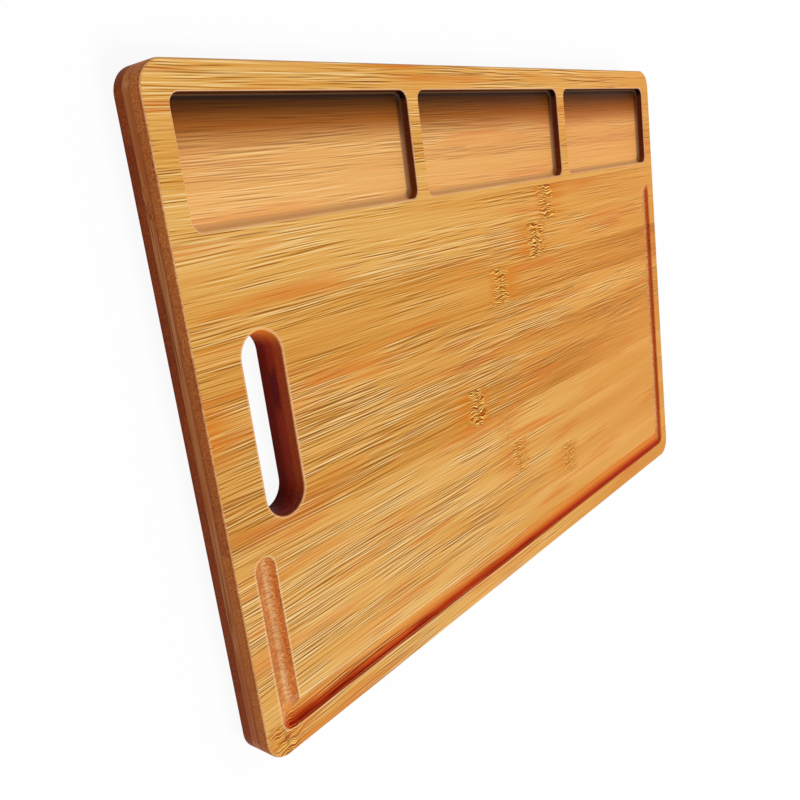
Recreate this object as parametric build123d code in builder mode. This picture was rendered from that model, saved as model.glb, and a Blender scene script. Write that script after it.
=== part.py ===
"""Bamboo cutting board with three routed wells, a hand slot and a juice groove.

The board is glued up from bamboo strips in three plies: face and back strips run along the
long edge, core strips across it. The glued panel is then machined, so every strip here is
its blank's share of the machined board.

Frame, in mm: the board lies face up, +X along the long edge away from the hand slot, +Y
towards the wells, +Z out of the face, with the origin at the middle of the underside.
"""
import os

from build123d import *

os.makedirs("parts", exist_ok=True)

# ---------------------------------------------------------------- driving dimensions
board_length = 457.0
board_width = 305.0
outer_ply = 6.4
core_ply = 5.0
corner_radius = 12.0
edge_round = 1.2
underside_chamfer = 1.0

# Strips are planed to one width. The panel is sawn to size after it is glued, which leaves
# a narrow strip at its edges: first_cut is what is left of the first one.
strip_width = 21.7
face_first_cut = 5.0
back_first_cut = 8.8
core_first_cut = 12.0

rim_width = 12.7
divider_width = 9.7
wide_well_length = 145.3
well_width = 53.4
well_depth = 5.5
well_corner_radius = 5.0
well_floor_round = 3.0
well_rim_chamfer = 0.7

slot_length = 84.4
slot_width = 22.4
slot_from_edge = 36.1
slot_round = 1.2

groove_cutter_radius = 6.35
groove_depth = 3.0
groove_inset = 16.8
groove_rim_ease = 0.35
left_run_length = 96.6
right_run_from_wells_edge = 83.1

# ---------------------------------------------------------------- worked out from those
board_thickness = 2 * outer_ply + core_ply
left_edge = -board_length / 2
right_edge = board_length / 2
front_edge = -board_width / 2
wells_edge = board_width / 2
core_bottom = outer_ply
core_top = outer_ply + core_ply

slot_centre_x = left_edge + slot_from_edge
well_centre_y = wells_edge - rim_width - well_width / 2
narrow_well_length = (
    board_length - 2 * rim_width - 2 * divider_width - 2 * wide_well_length
)
well_lengths = [wide_well_length, wide_well_length, narrow_well_length]

groove_axis_height = groove_cutter_radius - groove_depth
groove_half_width = (groove_cutter_radius**2 - groove_axis_height**2) ** 0.5


# ---------------------------------------------------------------- the machined board
with BuildPart() as board:
    with BuildSketch():
        RectangleRounded(board_length, board_width, corner_radius)
    extrude(amount=board_thickness)
    flats = board.faces().sort_by(Axis.Z)
    chamfer(flats[0].edges(), length=underside_chamfer)
    fillet(flats[-1].edges(), radius=edge_round)

    # Hand slot, right through, with a rounded lip on both faces for the fingers
    with BuildSketch():
        with Locations((slot_centre_x, 0)):
            SlotOverall(slot_length, slot_width, rotation=90)
    extrude(amount=board_thickness, mode=Mode.SUBTRACT)
    flats = board.faces().sort_by(Axis.Z)
    lips = flats[0].inner_wires()[0].edges() + flats[-1].inner_wires()[0].edges()
    fillet(lips, radius=slot_round)

    # Three flat-bottomed wells with a hollow corner all round each floor
    with BuildSketch(Plane.XY.offset(board_thickness)):
        well_start = left_edge + rim_width
        for well_length in well_lengths:
            with Locations((well_start + well_length / 2, well_centre_y)):
                RectangleRounded(well_length, well_width, well_corner_radius)
            well_start += well_length + divider_width
    extrude(amount=-well_depth, mode=Mode.SUBTRACT)
    well_floors = board.faces().filter_by(Axis.Z).group_by(Axis.Z)[1]
    fillet(well_floors.edges(), radius=well_floor_round)
    face = board.faces().sort_by(Axis.Z)[-1]
    rims = face.inner_wires().sort_by(SortBy.LENGTH)[-len(well_lengths):]
    chamfer(rims.edges(), length=well_rim_chamfer)

    # Juice groove: a round-nosed cutter run along a U of three straight passes, so its
    # ends and outer corners are round and its inner corners are sharp
    groove_left_x = left_edge + groove_inset
    groove_right_x = right_edge - groove_inset
    groove_front_y = front_edge + groove_inset
    left_stop_y = front_edge + left_run_length - groove_half_width
    right_stop_y = wells_edge - right_run_from_wells_edge - groove_half_width
    cutter_z = board_thickness + groove_axis_height
    cutter_stops = [
        (groove_left_x, left_stop_y, cutter_z),
        (groove_left_x, groove_front_y, cutter_z),
        (groove_right_x, groove_front_y, cutter_z),
        (groove_right_x, right_stop_y, cutter_z),
    ]
    with Locations(*cutter_stops):
        Sphere(groove_cutter_radius, mode=Mode.SUBTRACT)
    for start, end in zip(cutter_stops, cutter_stops[1:]):
        cutter_pass = Edge.make_line(start, end)
        with BuildSketch(Plane(origin=start, z_dir=cutter_pass.tangent_at(0))):
            Circle(groove_cutter_radius)
        extrude(amount=cutter_pass.length, mode=Mode.SUBTRACT)

    # The groove's rim is eased by a 90 degree cutter that follows its outline, and that
    # reaches below the ease into the open groove so that it leaves no ledge
    face = board.faces().sort_by(Axis.Z)[-1]
    groove_rim = face.inner_wires().sort_by(SortBy.LENGTH)[-1]
    with BuildSketch(Plane.XY.offset(board_thickness)):
        make_face(groove_rim.moved(Location((0, 0, -board_thickness))))
        offset(amount=groove_rim_ease)
    extrude(amount=-2 * groove_rim_ease, taper=45, mode=Mode.SUBTRACT)


# ---------------------------------------------------------------- strips
def glue_lines(first_cut, span):
    """Distances of the glue lines from the first edge of a ply, with both its edges."""
    lines = [0.0]
    line = first_cut
    while line < span:
        lines.append(line)
        line += strip_width
    lines.append(span)
    return lines


def make_strip(name, low, high):
    """Write the machined board's share of one blank, given the blank's two corners."""
    size = Vector(*high) - Vector(*low)
    middle = (Vector(*low) + Vector(*high)) / 2
    with BuildPart() as strip:
        with Locations(middle):
            Box(size.X, size.Y, size.Z)
        add(board.part, mode=Mode.INTERSECT)
    strip.part.label = name
    export_step(strip.part, f"parts/{name}.step")


def make_long_ply(ply_name, first_cut, bottom_z, top_z):
    """Strips along the long edge, counted from the wells' edge.

    A strip that the hand slot crosses from side to side is two separate lengths."""
    lines = glue_lines(first_cut, board_width)
    for number, (near, far) in enumerate(zip(lines, lines[1:]), start=1):
        name = f"{ply_name}_strip_{number:02d}"
        low_y = wells_edge - far
        high_y = wells_edge - near
        if -slot_length / 2 < low_y and high_y < slot_length / 2:
            low_corner = (left_edge, low_y, bottom_z)
            make_strip(name + "_left", low_corner, (slot_centre_x, high_y, top_z))
            low_corner = (slot_centre_x, low_y, bottom_z)
            make_strip(name + "_right", low_corner, (right_edge, high_y, top_z))
        else:
            make_strip(name, (left_edge, low_y, bottom_z), (right_edge, high_y, top_z))


def make_core_ply(first_cut, bottom_z, top_z):
    """Strips along the short edge, counted from the hand slot's end."""
    lines = glue_lines(first_cut, board_length)
    for number, (near, far) in enumerate(zip(lines, lines[1:]), start=1):
        low_corner = (left_edge + near, front_edge, bottom_z)
        high_corner = (left_edge + far, wells_edge, top_z)
        make_strip(f"core_strip_{number:02d}", low_corner, high_corner)


make_long_ply("back", back_first_cut, 0, core_bottom)
make_core_ply(core_first_cut, core_bottom, core_top)
make_long_ply("face", face_first_cut, core_top, board_thickness)
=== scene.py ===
"""Bamboo cutting board with three wells, a hand slot and a juice groove, as in the photo.

Every strip of bamboo is a CAD node and keeps its shape. This script gives each strip its own
stretch of bamboo and sets the camera, the light and the floor. The scene is in metres, and
sizes inside the bamboo are in millimetres.
"""

import math
import random
from functools import partial
from types import SimpleNamespace

import bpy
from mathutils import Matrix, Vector


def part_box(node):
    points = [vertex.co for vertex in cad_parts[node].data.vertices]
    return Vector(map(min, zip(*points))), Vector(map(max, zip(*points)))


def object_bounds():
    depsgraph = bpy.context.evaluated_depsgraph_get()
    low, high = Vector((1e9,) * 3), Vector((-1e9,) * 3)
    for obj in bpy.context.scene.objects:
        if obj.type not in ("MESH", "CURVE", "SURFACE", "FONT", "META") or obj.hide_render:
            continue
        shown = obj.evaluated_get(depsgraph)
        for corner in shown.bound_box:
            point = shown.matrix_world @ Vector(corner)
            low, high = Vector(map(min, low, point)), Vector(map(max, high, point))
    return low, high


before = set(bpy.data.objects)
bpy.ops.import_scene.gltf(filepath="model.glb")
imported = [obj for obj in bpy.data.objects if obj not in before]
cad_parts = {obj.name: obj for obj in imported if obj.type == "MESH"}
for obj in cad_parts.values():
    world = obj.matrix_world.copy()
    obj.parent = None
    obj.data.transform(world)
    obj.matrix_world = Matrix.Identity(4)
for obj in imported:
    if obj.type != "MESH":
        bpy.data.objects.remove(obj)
frame_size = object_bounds()

MM = 0.001
SEED = 7
ALONG_BOARD = (1, 0, 0)
ACROSS_BOARD = (0, 1, 0)
SMOOTH = {"interpolation_type": "SMOOTHSTEP"}

# What was routed out of the board, in mm
rim_width = 12.7
well_width = 53.4
slot_from_edge = 36.1
slot_half_width = 11.2
slot_half_straight = 31.0
slot_lip = 1.2
groove_inset = 16.8
groove_half_width = 5.7
left_run_stop = 91.2
right_run_stop = 88.5

# The board in mm, from the frame, and where in it those cuts lie. The groove's centre line is
# a U that opens towards the wells.
board_low, board_high = (corner / MM for corner in frame_size)
core_low, core_high = (corner[2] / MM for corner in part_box("core_strip_01"))
slot_centre_x = board_low.x + slot_from_edge
wells_high_y = board_high.y - rim_width
wells_low_y = wells_high_y - well_width
groove_x = board_high.x - groove_inset
groove_y = board_low.y + groove_inset
groove_left_end = board_low.y + left_run_stop
groove_right_end = board_high.y - right_run_stop


# ---------------------------------------------------------------- shader helpers
def srgb(hex_colour):
    """A colour written as sRGB hex, as the linear RGBA that nodes take."""
    channels = [int(hex_colour[i:i + 2], 16) / 255 for i in (0, 2, 4)]
    linear = [c / 12.92 if c <= 0.04045 else ((c + 0.055) / 1.055) ** 2.4 for c in channels]
    return (*linear, 1.0)


def add_node(tree, kind, inputs=(), out=0, stops=(), **settings):
    """Adds a node and returns one of its outputs. inputs maps a socket's name or number to a
    value or to another node's output, and a list fills the sockets in order. stops are a
    colour ramp's (position, sRGB hex)."""
    made = tree.nodes.new("ShaderNode" + kind)
    for name, value in settings.items():
        setattr(made, name, value)
    pairs = inputs.items() if isinstance(inputs, dict) else enumerate(inputs)
    for name, value in pairs:
        if isinstance(value, bpy.types.NodeSocket):
            tree.links.new(value, made.inputs[name])
        else:
            made.inputs[name].default_value = value
    for position, _ in stops[1:-1]:
        made.color_ramp.elements.new(position)
    for element, (position, hex_colour) in zip(made.color_ramp.elements if stops else (), stops):
        element.position = position
        element.color = srgb(hex_colour)
    return made.outputs[out]


def layered(add, colour, *layers):
    """Lays (colour, blend, amount, ...) over a colour in turn. Its amounts are multiplied."""
    for tint, blend, amount, *limits in layers:
        for limit in limits:
            amount = add("Math", [amount, limit], operation="MULTIPLY")
        tint = srgb(tint) if isinstance(tint, str) else tint
        inputs = {0: amount, 6: colour, 7: tint}
        colour = add("Mix", inputs, out=2, data_type="RGBA", blend_type=blend)
    return colour


def weighed(add, start, *terms):
    """start plus each (pattern, weight), where a pattern counts from its middle value 0.5."""
    total = start
    for value, weight in terms:
        centred = add("Math", [value, 0.5], operation="SUBTRACT")
        total = add("Math", [centred, weight, total], operation="MULTIPLY_ADD")
    return total


def pattern(add, place, size, seed, offset, **settings):
    """Noise from 0 to 1 about 0.5, with features of this size in mm. seed gives each strip a
    noise of its own, and offset does the same for each pattern in it."""
    scaled = add("VectorMath", [place, [1 / s for s in size]], operation="MULTIPLY")
    seed = add("Math", [seed, offset], operation="ADD")
    inputs = {"Vector": scaled, "W": seed, "Scale": 1.0, "Detail": 0.0, **settings}
    return add("TexNoise", inputs, noise_dimensions="4D")


def ridges(add, place, size, seed, offset):
    """Even fibres about zero: noise less the same noise one fibre further across, which
    leaves no broad bands in it."""
    here = pattern(add, place, size, seed, offset)
    beside = add("VectorMath", [place, (0, 0.9 * size[1], 0)], operation="ADD")
    there = pattern(add, beside, size, seed, offset)
    return add("Math", [here, there], operation="SUBTRACT")


# ---------------------------------------------------------------- bamboo
def places(tree, add, given):
    """A point of the board in mm, by the board's directions and by its strip's fibres, with
    the way the surface faces there. cut is 1 on a surface straight across the fibres, and
    turned is 1 on a strip's upright sides."""
    coordinates = tree.nodes.new("ShaderNodeTexCoord").outputs
    place = add("VectorMath", [coordinates["Object"], (1 / MM,) * 3], operation="MULTIPLY")
    grain = add("SeparateXYZ", [given["Grain"]]).node.outputs
    crosswise = add("CombineXYZ", [grain["Y"], grain["X"], 0.0])
    at = SimpleNamespace()
    at.x, at.y, at.up = add("SeparateXYZ", [place]).node.outputs
    at.off_x = add("Math", [at.x], operation="ABSOLUTE")
    at.off_y = add("Math", [at.y], operation="ABSOLUTE")
    at.along = add("VectorMath", [place, given["Grain"]], out="Value", operation="DOT_PRODUCT")
    at.across = add("VectorMath", [place, crosswise], out="Value", operation="DOT_PRODUCT")
    at.fibre = add("CombineXYZ", [at.along, at.across, at.up])
    normal = coordinates["Normal"]
    at.facing = add("SeparateXYZ", [normal]).node.outputs
    at.flatness = add("Math", [at.facing["Z"]], operation="ABSOLUTE")
    at.cut = add("VectorMath", [normal, given["Grain"]], out="Value", operation="DOT_PRODUCT")
    at.cut = add("Math", [at.cut], operation="ABSOLUTE")
    at.turned = add("VectorMath", [normal, crosswise], out="Value", operation="DOT_PRODUCT")
    at.turned = add("Math", [at.turned], operation="ABSOLUTE")
    at.below_face = add("Math", [board_high.z, at.up], operation="SUBTRACT")
    return at


def culm_node(add, at, given):
    """Where a node of the culm crosses a strip: a wandering ring with curled fibres beside
    it, and amber that runs out of it along the fibres on one side."""
    wander = pattern(add, at.fibre, (60, 7, 12), given["Seed"], 3, Detail=3.0, Roughness=0.6)
    ragged = pattern(add, at.fibre, (12, 2, 3), given["Seed"], 4, Detail=1.0)
    past = add("Math", [at.along, given["Knuckle at"]], operation="SUBTRACT")
    past = weighed(add, past, (wander, 16.0))
    side = add("Math", [past, given["Flare"]], operation="MULTIPLY")
    ahead = add("MapRange", [side, 34.0, 2.0], **SMOOTH)
    behind = add("MapRange", [side, -16.0, -4.0], **SMOOTH)
    node = SimpleNamespace()
    node.away = add("Math", [past], operation="ABSOLUTE")
    node.curl = weighed(add, node.away, (ragged, 14.0))
    node.curl = add("MapRange", [node.curl, 12.0, 4.0], **SMOOTH)
    node.curl = add("Math", [node.curl, given["Knuckle"]], operation="MULTIPLY")
    node.ring = add("MapRange", [node.away, 1.6, 0.4], **SMOOTH)
    node.flare = add("Math", [ahead, behind], operation="MULTIPLY")
    node.flare = add("Math", [node.flare, given["Knuckle"]], operation="MULTIPLY")
    return node


def glue_lines(add, at, given):
    """The strip's edges, where glue shows more in some stretches than in others. An edge
    that the board's outline was sawn along has no glue. The film is under 0.1 mm thick and is
    drawn about 0.5 mm wide so that it shows."""
    off_middle = add("Math", [at.across, given["Middle"]], operation="SUBTRACT")
    off_middle = add("Math", [off_middle], operation="ABSOLUTE")
    to_edge = add("Math", [given["Half width"], off_middle], operation="SUBTRACT")
    shows = pattern(add, at.fibre, (60, 900, 900), given["Seed"], 23)
    hidden = add("MapRange", [shows, 0.65, 0.35, 0.0, 0.4])
    to_edge = add("Math", [to_edge, hidden], operation="ADD")
    sawn = add("MapRange", [at.turned, 0.3, 0.8])
    to_edge = add("Math", [to_edge, sawn], operation="ADD")
    to_low = add("Math", [at.up, core_low], operation="SUBTRACT")
    to_low = add("Math", [to_low], operation="ABSOLUTE")
    to_high = add("Math", [at.up, core_high], operation="SUBTRACT")
    to_high = add("Math", [to_high], operation="ABSOLUTE")
    to_ply = add("Math", [to_low, to_high], operation="MINIMUM")
    nearest = add("Math", [to_edge, to_ply], operation="MINIMUM")
    return add("MapRange", [nearest, 0.45, 0.05], **SMOOTH)


def bent_fibres(add, at, given, node):
    """The place along and across the fibres, which drift a little in their strip and zigzag
    beside the node."""
    drift = pattern(add, at.fibre, (120, 40, 40), given["Seed"], 11, Detail=1.0)
    across = weighed(add, at.across, (drift, 4.0))
    zigzag = pattern(add, at.fibre, (4.5, 5, 8), given["Seed"], 17)
    zigzag = add("Math", [zigzag, 0.5], operation="SUBTRACT")
    zigzag = add("Math", [zigzag, node.curl], operation="MULTIPLY")
    across = add("Math", [zigzag, 5.0, across], operation="MULTIPLY_ADD")
    return add("CombineXYZ", [at.along, across, at.up])


def faintness(add, at):
    """From 0 to 1 towards the board's lower right, where the photo shows the fibres faint. It
    doesn't tell whether that is wear, focus or retouching."""
    lower = add("MapRange", [at.y, 0, -45])
    right = add("MapRange", [at.x, -50, 70])
    return add("Math", [lower, right], operation="MULTIPLY")


def fibre_strength(add, at, given, fibre, faint):
    """How strongly the fibres show: by strip, by patch, and less to the right and where they
    are faint."""
    patchy = pattern(add, fibre, (60, 8, 6), given["Seed"], 10)
    patchy = add("MapRange", [patchy, 0.35, 0.60, 0.35, 1.0])
    right_end = add("MapRange", [at.x, 40, 220, 1.0, 0.6])
    shown = add("Math", [patchy, right_end], operation="MULTIPLY")
    kept = add("MapRange", [faint, 0, 1, 1.0, 0.3])
    shown = add("Math", [shown, kept], operation="MULTIPLY")
    return add("Math", [shown, given["Fibres"]], operation="MULTIPLY")


def long_grain(add, at, given, glue, result):
    """Bamboo sawn along its fibres: pale straw to amber fibres, the node and the glue."""
    seed = given["Seed"]
    node = culm_node(add, at, given)
    fibre = bent_fibres(add, at, given, node)

    # Bands 14 mm wide, bundles of 2 mm, and two sizes of single fibres. Real ones are about
    # 0.3 mm wide, and the fine ones are drawn 0.55 mm wide so that they show.
    bands = pattern(add, fibre, (200, 14, 10), seed, 1)
    bundles = pattern(add, fibre, (110, 2.0, 1.5), seed, 2)
    faint = faintness(add, at)
    shown = fibre_strength(add, at, given, fibre, faint)
    hairs = ridges(add, fibre, (26, 0.55, 0.5), seed, 5)
    hairs = add("Math", [hairs, shown], operation="MULTIPLY")
    lines = ridges(add, fibre, (45, 0.9, 0.8), seed, 6)
    lines = add("Math", [lines, shown], operation="MULTIPLY")
    bundled = add("MapRange", [faint, 0, 1, 0.25, 0.12])
    tone = weighed(add, given["Tone"], (bands, 0.65), (bundles, bundled))
    tone = add("Math", [hairs, 2.0, tone], operation="MULTIPLY_ADD")
    tone = add("Math", [lines, 0.4, tone], operation="MULTIPLY_ADD")
    straw = add(
        "ValToRGB", [tone],
        stops=((0.0, "B06F1E"), (0.22, "D08F3A"), (0.45, "DCA24F"), (0.7, "E4B265"), (1.0, "F2CF90")),
    )
    dark_line = add("MapRange", [lines, -0.14, -0.28], **SMOOTH)
    pale_line = add("MapRange", [lines, 0.16, 0.30], **SMOOTH)
    thread = add("MapRange", [hairs, -0.08, -0.24], **SMOOTH)

    # Short curled fibres, dark to pale, fill the node
    strokes = ridges(add, fibre, (9, 0.55, 0.8), seed, 7)
    strokes = add(
        "ValToRGB", [add("Math", [strokes, 0.5], operation="ADD")],
        stops=((0.37, "742400"), (0.46, "B45400"), (0.55, "E48A04"), (0.63, "FFD870")),
    )

    # Amber lies in some stretches of a strip, and in streaks beside the node
    amber = add("MapRange", [bundles, 0.60, 0.42], **SMOOTH)
    patch = pattern(add, fibre, (90, 12, 9), seed, 8, Detail=1.0)
    patch = add("MapRange", [patch, 0.52, 0.68], **SMOOTH)

    # The photo's face is a little redder towards its right end
    to_right = add("MapRange", [at.x, -120, 200])
    result.colour = layered(
        add, straw,
        ("F8DCA4", "MIX", pale_line, 0.3),
        ("8A5216", "MIX", thread, 0.75),
        ("DC8A34", "MIX", patch, 0.3),
        ("D0701C", "MIX", patch, amber, 0.5),
        ("8A5216", "MIX", dark_line, 0.4),
        ("FFECCC", "MULTIPLY", to_right),
        ("D06C08", "MIX", node.flare, amber, 0.7),
        ("D87C0C", "MIX", node.flare, 0.45),
        (strokes, "MIX", node.curl, 0.95),
        ("8E4204", "MIX", node.ring, node.curl, 0.4),
        ("8A4F1C", "MIX", glue, 0.45),
    )
    result.curl = node.curl
    height = weighed(add, 0.5, (bundles, 0.5))
    height = add("Math", [hairs, 0.6, height], operation="MULTIPLY_ADD")
    height = add("Math", [lines, 0.6, height], operation="MULTIPLY_ADD")
    height = add("Math", [node.ring, -0.5, height], operation="MULTIPLY_ADD")
    result.height = add("Math", [glue, -0.4, height], operation="MULTIPLY_ADD")
    result.rough = weighed(add, 0.42, (bundles, 0.25))


def end_grain(add, at, given, result):
    """Bamboo cut across its fibres: dark bundles in paler pith, closest under the skin, and
    a little rougher."""
    across = add("MapRange", [at.cut, 0.10, 0.50], **SMOOTH)
    specks = pattern(add, at.fibre, (4, 0.9, 0.9), given["Seed"], 31, Detail=2.0, Roughness=0.7)
    from_skin = add("Math", [at.up, given["Skin height"]], operation="SUBTRACT")
    from_skin = add("Math", [from_skin], operation="ABSOLUTE")
    dense = add("MapRange", [from_skin, 2.0, 0.3], **SMOOTH)
    specks = add("Math", [dense, -0.09, specks], operation="MULTIPLY_ADD")
    specks = weighed(add, specks, (given["Tone"], 0.25))
    result.specks = add(
        "ValToRGB", [specks],
        stops=((0.26, "A06840"), (0.42, "CC9060"), (0.56, "E4B280"), (0.70, "F8DAB0")),
    )
    result.colour = layered(add, result.colour, (result.specks, "MIX", across, 0.85))
    result.rough = add("Math", [across, 0.12, result.rough], operation="MULTIPLY_ADD")
    result.end_grain = across


def from_groove(add, at):
    """Distance in mm from the groove's centre line, as seen from above."""
    ends_at = add("MapRange", [at.x, -1.0, 1.0, groove_left_end, groove_right_end])
    beyond = add("Math", [at.y, ends_at], operation="SUBTRACT")
    below = add("Math", [groove_y, at.y], operation="SUBTRACT")
    off_end = add("Math", [beyond, below], operation="MAXIMUM")
    off_end = add("Math", [off_end, 0.0], operation="MAXIMUM")
    off_side = add("Math", [at.off_x, groove_x], operation="SUBTRACT")
    off_run = add("CombineXYZ", [off_side, off_end, 0.0])
    off_run = add("VectorMath", [off_run], out="Value", operation="LENGTH")
    off_corner = add("Math", [off_side, 0.0], operation="MAXIMUM")
    off_front = add("CombineXYZ", [off_corner, below, 0.0])
    off_front = add("VectorMath", [off_front], out="Value", operation="LENGTH")
    return add("Math", [off_run, off_front], operation="MINIMUM")


def from_slot(add, at):
    """Distance in mm from the hand slot's centre line, as seen from above."""
    off_side = add("Math", [at.x, slot_centre_x], operation="SUBTRACT")
    off_end = add("Math", [at.off_y, slot_half_straight], operation="SUBTRACT")
    off_end = add("Math", [off_end, 0.0], operation="MAXIMUM")
    off = add("CombineXYZ", [off_side, off_end, 0.0])
    return add("VectorMath", [off], out="Value", operation="LENGTH")


def which_cut(add, at):
    """Which cut a point lies in, from 0 to 1 for each: the outline, the hand slot, a well or
    the groove. Each reaches a little past its own walls, and the outline's takes in the
    rounded corners. With it comes what the walls share, such as near_face, which keeps their
    tints off the underside."""
    cut = SimpleNamespace()
    in_x = add("Math", [board_high.x, at.off_x], operation="SUBTRACT")
    in_y = add("Math", [board_high.y, at.off_y], operation="SUBTRACT")
    inside = add("Math", [in_x, in_y], operation="MINIMUM")
    cut.outline = add("MapRange", [inside, 6.5, 4.5])
    cut.from_groove = from_groove(add, at)
    cut.from_slot = from_slot(add, at)
    cut.groove = add("MapRange", [cut.from_groove, groove_half_width + 0.3, groove_half_width])
    cut.slot = add("MapRange", [cut.from_slot, slot_half_width + 3, slot_half_width + 2])
    well = add("MapRange", [at.y, wells_low_y - 3, wells_low_y - 2])
    cut.well = add("Math", [well, cut.outline], operation="SUBTRACT", use_clamp=True)
    cut.steep = add("MapRange", [at.flatness, 0.95, 0.40], **SMOOTH)
    cut.sunk = add("MapRange", [at.below_face, 0.0, 0.4])
    cut.near_face = add("MapRange", [at.below_face, 6.0, 5.0])
    cut.on_right = add("MapRange", [at.x, -1.0, 1.0])
    return cut


def outline_walls(add, at, cut, glue, result):
    """The sawn outline: end grain, long grain, and the glue between them, all tinted redder and darker
    than the face, with the back ply's end grain darkest. These tints are partly the bamboo's own
    colour and partly painted shade."""
    back_ply = add("MapRange", [at.up, core_low + 0.2, core_low - 0.2])
    uncut = add("Math", [1.0, result.end_grain], operation="SUBTRACT")
    wall = (cut.steep, cut.outline)
    result.colour = layered(
        add, result.colour,
        ("CE9A66", "MULTIPLY", *wall, result.end_grain),
        ("D2ABA2", "MULTIPLY", *wall, result.end_grain, back_ply),
        ("C2978F", "MULTIPLY", *wall, uncut),
        ("5E3018", "MIX", *wall, glue, 0.45),
    )


def groove_walls(add, at, cut, result):
    """The groove: its front run is tinted by how far a wall faces the wells, and its side
    runs by how far one faces the right, but on the right run only at the outer wall's top."""
    # Darkest and reddest where a wall faces the wells: partly the bamboo's colour and partly painted
    # shade.
    facing_wells = add("MapRange", [at.facing["Y"], -1.0, 1.0])
    front_wall = add(
        "ValToRGB", [facing_wells],
        stops=((0.35, "FFF0DC"), (0.5, "FCDCC0"), (0.62, "F4BC94"), (0.75, "F08048"),
               (0.86, "C83410"), (0.93, "A01804"), (0.98, "781002")),
    )
    # Darker by how far a wall faces the right or left, and lightest where the floor tilts a little to
    # the left: a painted highlight and painted shade, partly the bamboo's colour.
    facing_right = add("MapRange", [at.facing["X"], -1.0, 1.0])
    side_wall = add(
        "ValToRGB", [facing_right],
        stops=((0.07, "D68B35"), (0.11, "F9B063"), (0.16, "FBC081"), (0.21, "FACC93"),
               (0.27, "F6D4B1"), (0.33, "F7E3D4"), (0.44, "FFFFFF"), (0.54, "EECBA8"),
               (0.75, "E4BE94")),
    )
    front_run = add("MapRange", [at.y, groove_y + 9, groove_y + 5])
    side_run = add("Math", [cut.groove, front_run], operation="SUBTRACT", use_clamp=True)
    below_top = add("MapRange", [at.facing["X"], -0.72, -0.60])
    below_top = add("Math", [below_top, cut.on_right], operation="MULTIPLY")
    side_run = add("Math", [side_run, below_top], operation="SUBTRACT", use_clamp=True)

    # The photo shows the right run's outer side redder, and a little of the face past its rim
    reddened = add("MapRange", [cut.from_groove, groove_half_width + 2.0, groove_half_width - 0.5])
    reddened = add("Math", [reddened, cut.near_face], operation="MULTIPLY")
    outer = add("MapRange", [at.off_x, groove_x + 2.5, groove_x + 4.0])
    result.colour = layered(
        add, result.colour,
        (front_wall, "MULTIPLY", cut.sunk, cut.groove, front_run),
        (result.specks, "MIX", cut.sunk, side_run, 0.6),
        (side_wall, "MULTIPLY", cut.sunk, side_run),
        ("DC9858", "MULTIPLY", reddened, outer, cut.on_right),
    )


def slot_walls(add, at, given, cut, result):
    """The hand slot, the reddest cut: mottled, darker in a node, tinted by which way a wall faces,
    which is partly painted light and shade, and darker towards the back as painted shade of its depth.
    """
    mottle = pattern(add, at.fibre, (2.5, 1.2, 1.2), given["Seed"], 37, Detail=2.0)
    mottle = add("MapRange", [mottle, 0.35, 0.65, 0.88, 1.0])
    # Orange where a wall faces away from the wells and dark red where it faces them: partly the
    # bamboo's colour, partly painted light and shade.
    facing_wells = add("MapRange", [at.facing["Y"], -1.0, 1.0])
    slot_wall = add(
        "ValToRGB", [facing_wells],
        stops=((0.0, "FF9004"), (0.4, "B04818"), (0.6, "A43A0E"), (0.8, "7C1C08"), (1.0, "801408")),
    )
    # Painted shade: the slot's walls darken towards the back, the deeper into the slot.
    from_back = add("MapRange", [at.up, 0.0, board_high.z])
    depth_shade = add(
        "ValToRGB", [from_back],
        stops=((0.1, "A85838"), (0.3, "AC5C40"), (0.45, "DC9070"), (0.62, "E8A888"), (0.75, "FFFFFF")),
    )
    not_far_end = add("MapRange", [at.facing["Y"], -0.8, -0.2])
    wall = (cut.steep, cut.slot)
    result.colour = layered(
        add, result.colour,
        (slot_wall, "MIX", *wall, mottle),
        (depth_shade, "MULTIPLY", *wall, not_far_end),
        ("B43008", "MULTIPLY", *wall, result.curl),
    )


def well_walls(add, at, cut, result):
    """The wells' walls: painted light where they face +Y, and painted shade where they face -Y or -X.
    """
    lit_near_wall = add("MapRange", [at.facing["Y"], 0.05, 0.35])
    shaded_far_wall = add("MapRange", [at.facing["Y"], -0.05, -0.35])
    shaded_right_wall = add("MapRange", [at.facing["X"], -0.05, -0.35])
    wall = (cut.sunk, cut.well)
    result.colour = layered(
        add, result.colour,
        ("FFCC88", "MIX", *wall, lit_near_wall, 0.9),
        ("5A3C20", "MULTIPLY", *wall, shaded_far_wall),
        ("7A4C34", "MULTIPLY", *wall, shaded_right_wall),
    )


def well_floors(add, at, cut, result):
    """The wells' floors, a little paler and rougher than the face.

    The photo also shows them dark beside the far wall, most likely in its shadow. The key light here
    can't cast that shadow, so this paints it into the floors' colour: a painted shadow of the photo's
    light, not the bamboo's colour."""
    floor = add("MapRange", [at.facing["Z"], 0.30, 0.80], **SMOOTH)
    deep = add("MapRange", [at.below_face, 0.8, 2.5], **SMOOTH)
    floor = add("Math", [floor, deep], operation="MULTIPLY")
    from_far_wall = add("Math", [wells_high_y, at.y], operation="SUBTRACT")
    painted_floor_shadow = add(
        "ValToRGB", [add("MapRange", [from_far_wall, 0.0, 40.0])],
        stops=((0.0, "301C06"), (0.14, "684A22"), (0.32, "AE8250"), (0.6, "FFF4E4")),
    )
    result.colour = layered(
        add, result.colour,
        ("F8CC98", "MIX", floor, cut.well, 0.3),
        (painted_floor_shadow, "MULTIPLY", floor, cut.well),
    )
    result.rough = add("Math", [floor, 0.10, result.rough], operation="MULTIPLY_ADD")


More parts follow.
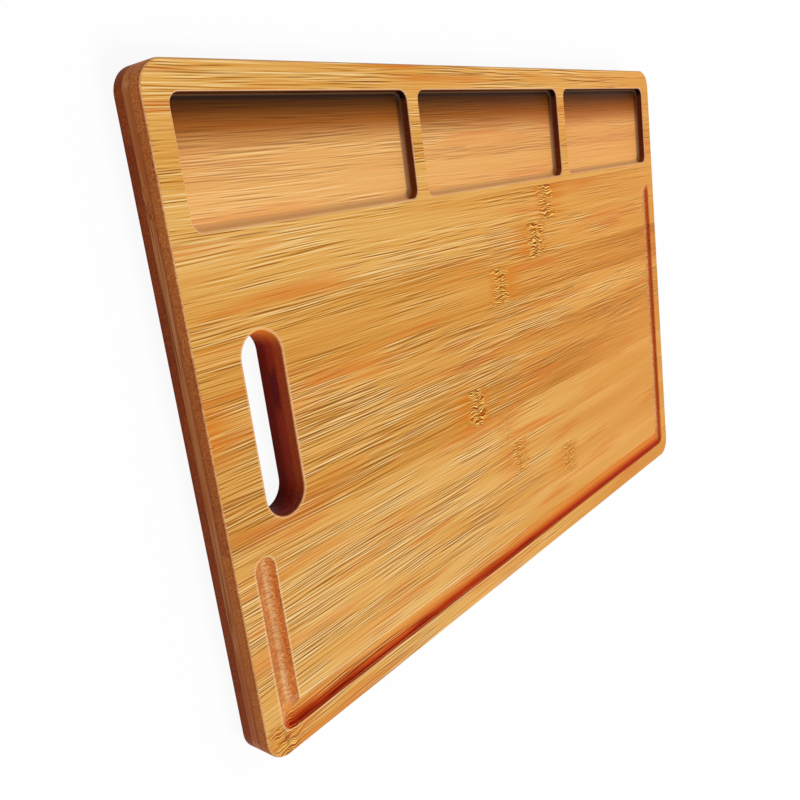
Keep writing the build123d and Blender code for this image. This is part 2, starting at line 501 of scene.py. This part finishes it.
def eased_edges(add, at, cut, result):
    """The eased edges, with a painted highlight on their face side and round the wells' rims and
    painted shade on the underside, and a pale painted highlight on the face beside the groove's front
    and left runs and the hand slot."""
    edge = add("MapRange", [at.below_face, 0.6, 0.1], **SMOOTH)
    underside_shade = add("MapRange", [at.up, 1.2, 0.9])
    tilted = add("MapRange", [at.flatness, 0.985, 0.85], **SMOOTH)
    not_groove = add("Math", [1.0, cut.groove], operation="SUBTRACT")
    past_groove = add("Math", [cut.from_groove, groove_half_width + 0.6], operation="SUBTRACT")
    past_groove = add("Math", [past_groove], operation="ABSOLUTE")
    past_slot = add("Math", [cut.from_slot, slot_half_width + slot_lip - 0.2], operation="SUBTRACT")
    past_slot = add("Math", [past_slot], operation="ABSOLUTE")
    rim = add("Math", [past_groove, past_slot], operation="MINIMUM")
    rim = add("MapRange", [rim, 0.7, 0.2], **SMOOTH)
    rim = add("Math", [rim, cut.on_right], operation="SUBTRACT", use_clamp=True)
    # Painted highlights on the face side of the edges, round the wells' rims and beside the groove's
    # and slot's rims, and painted shade on the underside's edge.
    result.colour = layered(
        add, result.colour,
        ("E4A868", "MIX", edge, tilted, not_groove, 0.4),
        ("FFD0A8", "MIX", edge, tilted, cut.well, 0.6),
        ("8C5038", "MULTIPLY", underside_shade, tilted),
        ("FFD0A0", "MIX", rim, cut.near_face, 0.3),
    )


def machined(add, at, given, glue, result):
    """What saw, router and sandpaper left, redder and darker than the face on most walls, with painted
    highlights along the edges and a painted shadow on the wells' floors.

    The tints go by the way a wall faces, and are fitted to the photo, so they hold some of
    the photo's light as well as the oiled bamboo's own colour. The photo doesn't tell how
    much is which."""
    cut = which_cut(add, at)
    outline_walls(add, at, cut, glue, result)
    groove_walls(add, at, cut, result)
    slot_walls(add, at, given, cut, result)
    well_walls(add, at, cut, result)
    well_floors(add, at, cut, result)
    eased_edges(add, at, cut, result)


def bamboo_group():
    """Bamboo, sawn flat, planed, sanded and oiled, as a solid that any cut goes through.

    It gives the eye long fibres of changing tone, crossed by a culm's node where the fibres curl,
    speckled end grain on cuts across the fibres, and redder walls where a router cut it. The walls'
    tints are partly painted light and shade, the pale lines at the edges are painted highlights, and
    the dark beside the wells' far walls is a painted shadow."""
    tree = bpy.data.node_groups.new("bamboo", "ShaderNodeTree")
    add = partial(add_node, tree)
    numbers = (
        "Middle", "Half width", "Tone", "Fibres", "Seed",
        "Knuckle at", "Knuckle", "Flare", "Skin height",
    )
    for name in numbers:
        tree.interface.new_socket(name, in_out="INPUT", socket_type="NodeSocketFloat")
    tree.interface.new_socket("Grain", in_out="INPUT", socket_type="NodeSocketVector")
    tree.interface.new_socket("Color", in_out="OUTPUT", socket_type="NodeSocketColor")
    tree.interface.new_socket("Roughness", in_out="OUTPUT", socket_type="NodeSocketFloat")
    tree.interface.new_socket("Height", in_out="OUTPUT", socket_type="NodeSocketFloat")
    given = tree.nodes.new("NodeGroupInput").outputs
    at = places(tree, add, given)
    result = SimpleNamespace()
    glue = glue_lines(add, at, given)
    long_grain(add, at, given, glue, result)
    end_grain(add, at, given, result)
    machined(add, at, given, glue, result)
    output = tree.nodes.new("NodeGroupOutput").inputs
    tree.links.new(result.colour, output["Color"])
    tree.links.new(result.rough, output["Roughness"])
    tree.links.new(result.height, output["Height"])
    return tree


def strip_bamboo(name, bamboo, strip):
    """The bamboo of one strip, as a material. strip gives the group's inputs by name."""
    material = bpy.data.materials.new(name)
    material.use_nodes = True
    tree = material.node_tree
    solid = add_node(tree, "Group", node_tree=bamboo).node
    for socket, value in strip.items():
        solid.inputs[socket].default_value = value
    grain_depth = 0.05 * MM
    relief = {"Strength": 0.6, "Distance": grain_depth, "Height": solid.outputs["Height"]}
    surface = tree.nodes["Principled BSDF"]
    tree.links.new(solid.outputs["Color"], surface.inputs["Base Color"])
    tree.links.new(solid.outputs["Roughness"], surface.inputs["Roughness"])
    tree.links.new(add_node(tree, "Bump", relief), surface.inputs["Normal"])
    # The photo shows hardly any sheen, so the usual 0.5 for an oiled surface is turned down
    surface.inputs["Specular IOR Level"].default_value = 0.06
    return material


# Face strips in their order from the wells' edge, as the photo shows them: tone from dark
# amber 0 to pale 1, how much their fibres show, where a culm's node crosses them, in mm from
# the middle of the board, how strongly it shows and which way its amber runs out
FACE_STRIPS = (
    (0.56, 1.0, 180, 0.0, 1),
    (0.52, 0.85, -140, 0.0, 1),
    (0.44, 1.0, 120, 0.0, 1),
    (0.60, 0.75, 120, 0.0, 1),
    (0.52, 0.7, 60, 0.8, 1),
    (0.46, 1.05, 43, 1.0, -1),
    (0.30, 0.75, -2, 0.8, 1),
    (0.38, 1.2, -240, 0.9, 1),
    (0.28, 1.4, 150, 0.0, 1),
    (0.24, 1.5, -39, 1.0, -1),
    (0.54, 1.15, -10, 0.25, 1),
    (0.52, 1.25, 0, 0.6, -1),
    (0.48, 1.3, 62, 0.6, -1),
    (0.50, 0.9, 150, 0.0, 1),
    (0.50, 1.3, -218, 0.8, 1),
)

# The same place and strength for the core strips that show in the left side and the hand slot
CORE_KNUCKLES = {1: (100, 0.4), 3: (12, 1.0)}
OTHER_CORE_KNUCKLE = 0.6


def paint_strips():
    """Gives every CAD node the bamboo of its own strip. Two lengths of one strip share it."""
    bamboo = bamboo_group()
    chance = random.Random(SEED)
    strips = {}
    for name in sorted(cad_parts):
        ply, _, number = name.split("_")[:3]
        strips.setdefault((ply, int(number)), []).append(name)
    for (ply, number), names in sorted(strips.items()):
        axis = 0 if ply == "core" else 1
        boxes = [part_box(name) for name in names]
        low = min(corners[0][axis] for corners in boxes) / MM
        high = max(corners[1][axis] for corners in boxes) / MM
        tone, knuckle_at = chance.uniform(0.2, 0.6), chance.uniform(-150, 150)
        fibres, knuckle, flare = 1.0, 1.0, 1
        if ply == "face":
            tone, fibres, knuckle_at, knuckle, flare = FACE_STRIPS[number - 1]
        if ply == "core":
            usual = (knuckle_at, OTHER_CORE_KNUCKLE)
            knuckle_at, knuckle = CORE_KNUCKLES.get(number, usual)
        strip = {
            "Middle": (low + high) / 2,
            "Half width": (high - low) / 2,
            "Tone": tone,
            "Fibres": fibres,
            "Seed": chance.uniform(0, 500),
            "Knuckle at": knuckle_at,
            "Knuckle": knuckle,
            "Flare": flare,
            "Skin height": boxes[0][chance.choice((0, 1))][2] / MM,
            "Grain": ACROSS_BOARD if ply == "core" else ALONG_BOARD,
        }
        material = strip_bamboo(f"{ply}_bamboo_{number:02d}", bamboo, strip)
        for name in names:
            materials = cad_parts[name].data.materials
            materials.clear()
            materials.append(material)


# ---------------------------------------------------------------- floor, light and camera
def seen_directly(tree, add):
    """One for what the camera sees, itself or through the board's sheen, and else zero."""
    path = tree.nodes.new("ShaderNodeLightPath").outputs
    seen = add("Math", [path["Is Camera Ray"], path["Is Glossy Ray"]], operation="MAXIMUM")
    return add("Math", [seen, path["Is Transmission Ray"]], operation="MAXIMUM")


def make_floor():
    """A white studio sweep under the board that stays nearly white in its shadow."""
    gap = 0.1 * MM
    own_glow = 0.92
    bpy.ops.object.select_all(action="DESELECT")
    bpy.ops.mesh.primitive_plane_add(size=16.0, location=(0, 0, -gap))
    floor = bpy.context.object
    floor.name = "studio_floor"
    material = bpy.data.materials.new("white_sweep")
    material.use_nodes = True
    add = partial(add_node, material.node_tree)
    matt = add("BsdfDiffuse", {"Color": srgb("F4F4F4")})
    white = add("Emission", {"Color": srgb("FFFFFF"), "Strength": 1.0})
    share = add("Math", [seen_directly(material.node_tree, add), own_glow], operation="MULTIPLY")
    mixed = add("MixShader", [share, matt, white])
    output = material.node_tree.nodes["Material Output"]
    material.node_tree.links.new(mixed, output.inputs["Surface"])
    floor.data.materials.append(material)


def make_light():
    """A broad key light overhead, to the groove's side, and an even white room that looks
    twice as bright as it lights the board."""
    room_light = 0.5
    room_seen = 1.0
    key = bpy.data.objects.new("key_light", bpy.data.lights.new("key_light", "SUN"))
    bpy.context.scene.collection.objects.link(key)
    towards_light = Vector((0.25, -0.45, 0.85))
    key.rotation_mode = "QUATERNION"
    key.rotation_quaternion = towards_light.to_track_quat("Z", "Y")
    key.data.angle = math.radians(24)
    key.data.energy = 1.9

    room = bpy.data.worlds.new("white_room")
    bpy.context.scene.world = room
    room.use_nodes = True
    add = partial(add_node, room.node_tree)
    seen = seen_directly(room.node_tree, add)
    strength = add("MapRange", [seen, 0.0, 1.0, room_light, room_seen])
    background = room.node_tree.nodes["Background"]
    background.inputs["Color"].default_value = srgb("FFFFFF")
    room.node_tree.links.new(strength, background.inputs["Strength"])


def make_camera():
    """The photo's camera, as fitted to the board's edges in the photo."""
    camera = bpy.data.objects.new("camera", bpy.data.cameras.new("camera"))
    bpy.context.scene.collection.objects.link(camera)
    bpy.context.scene.camera = camera
    camera.location = (-0.427266, 0.095538, 0.295523)
    camera.rotation_euler = [math.radians(angle) for angle in (-5.395, -50.416, -11.691)]
    camera.data.sensor_width = 36.0
    camera.data.lens = 38.0
    camera.data.clip_start = 0.01
    camera.data.clip_end = 50.0


paint_strips()
make_floor()
make_light()
make_camera()
bpy.context.scene.view_settings.view_transform = "Standard"
